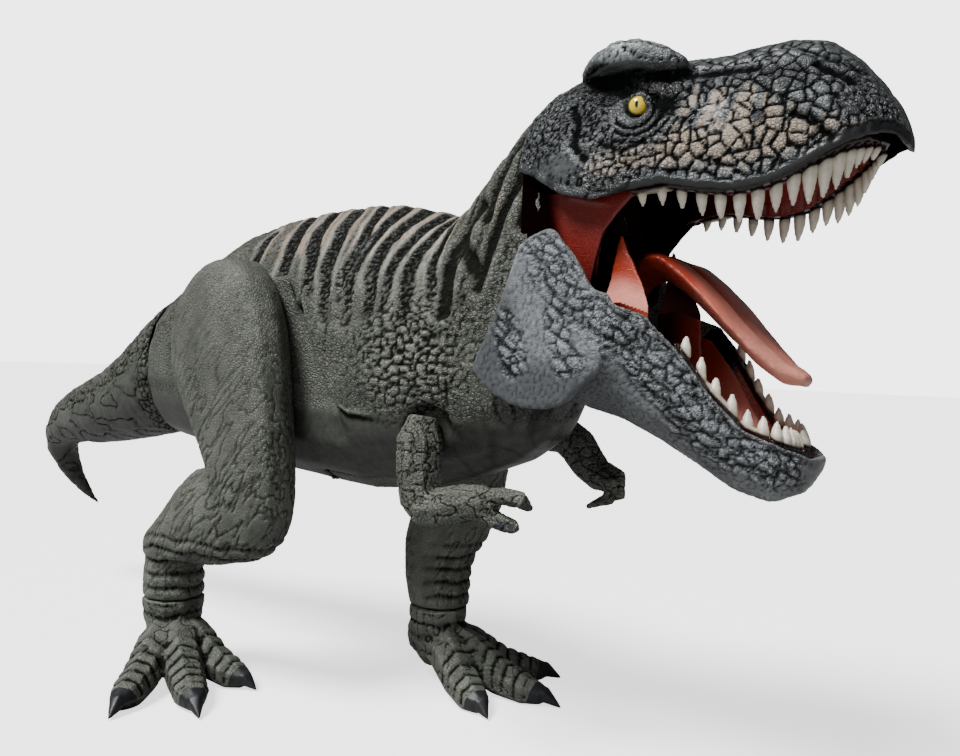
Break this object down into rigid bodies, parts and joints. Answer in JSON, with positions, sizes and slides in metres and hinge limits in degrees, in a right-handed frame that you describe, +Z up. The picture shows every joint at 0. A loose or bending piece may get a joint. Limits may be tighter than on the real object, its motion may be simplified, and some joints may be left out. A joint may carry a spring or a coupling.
{
  "type": "toy dinosaur figure",
  "caption": "Large toy tyrannosaur in mid stride, with a wide swallowing jaw on a hinge, swinging legs and arms, turning feet and a hatch under the belly",
  "frame": {"origin": "on the floor under the middle of the figure's own box", "axes": "+X runs from the tail to the snout, +Y to the animal's left and +Z up from the soles"},
  "size_m": [0.922, 0.2944, 0.4694],
  "materials": {
    "hide_grey": "matte moulded vinyl with painted dark bands",
    "jaw_grey": "matte moulded plastic, bluish grey",
    "head_charcoal": "matte moulded plastic with tan patches",
    "mouth_red": "satin soft plastic",
    "mouth_pink": "satin soft plastic",
    "tooth_ivory": "satin plastic",
    "eye_amber": "glossy",
    "peg_black": "plain moulded nylon",
    "pin_steel": "plain drawn wire"
  },
  "bodies": {
    "torso": {"torso_right_shell": "hide_grey", "torso_left_shell": "hide_grey", "hatch_pin": "pin_steel", "tail": "hide_grey", "skull_shell": "head_charcoal", "right_eye": "eye_amber", "left_eye": "eye_amber", "palate_liner": "mouth_red", "upper_teeth": "tooth_ivory", "right_jaw_pin": "pin_steel", "left_jaw_pin": "pin_steel"},
    "jaw": {"lower_jaw": "jaw_grey", "jaw_liner": "mouth_pink", "lower_teeth": "tooth_ivory", "tongue": "mouth_pink"},
    "right_leg": {"right_leg_outer": "hide_grey", "right_leg_inner": "hide_grey", "right_hip_peg": "peg_black"},
    "left_leg": {"left_leg_outer": "hide_grey", "left_leg_inner": "hide_grey", "left_hip_peg": "peg_black"},
    "right_foot_body": {"right_foot": "hide_grey", "right_ankle_peg": "peg_black"},
    "left_foot_body": {"left_foot": "hide_grey", "left_ankle_peg": "peg_black"},
    "right_arm_body": {"right_arm": "hide_grey", "right_arm_peg": "peg_black"},
    "left_arm_body": {"left_arm": "hide_grey", "left_arm_peg": "peg_black"},
    "hatch": {"belly_hatch": "hide_grey"}
  },
  "joints": [
    {"name": "jaw_hinge", "type": "hinge", "parent": "torso", "child": "jaw", "pos_m": [0.26713, 0.01189, 0.302], "axis": [0, -1, 0], "range_deg": [0, 48]},
    {"name": "right_hip", "type": "hinge", "parent": "torso", "child": "right_leg", "pos_m": [-0.01487, -0.04611, 0.286], "axis": [0, 1, 0], "range_deg": [-25, 15]},
    {"name": "left_hip", "type": "hinge", "parent": "torso", "child": "left_leg", "pos_m": [-0.01487, 0.06989, 0.286], "axis": [0, 1, 0], "range_deg": [-2, 45]},
    {"name": "right_shoulder", "type": "hinge", "parent": "torso", "child": "right_arm_body", "pos_m": [0.17513, -0.03811, 0.221], "axis": [0, 1, 0], "range_deg": [-25, 25]},
    {"name": "left_shoulder", "type": "hinge", "parent": "torso", "child": "left_arm_body", "pos_m": [0.17513, 0.06189, 0.221], "axis": [0, 1, 0], "range_deg": [-12, 45]},
    {"name": "right_ankle", "type": "hinge", "parent": "right_leg", "child": "right_foot_body", "pos_m": [-0.08687, -0.05411, 0.064], "axis": [0, 0, 1], "range_deg": [-30, 30]},
    {"name": "left_ankle", "type": "hinge", "parent": "left_leg", "child": "left_foot_body", "pos_m": [0.09813, 0.07789, 0.064], "axis": [0, 0, 1], "range_deg": [-30, 30]},
    {"name": "hatch_hinge", "type": "hinge", "parent": "torso", "child": "hatch", "pos_m": [0.05213, 0.01189, 0.1752], "axis": [0, 1, 0], "range_deg": [0, 80]}
  ]
}
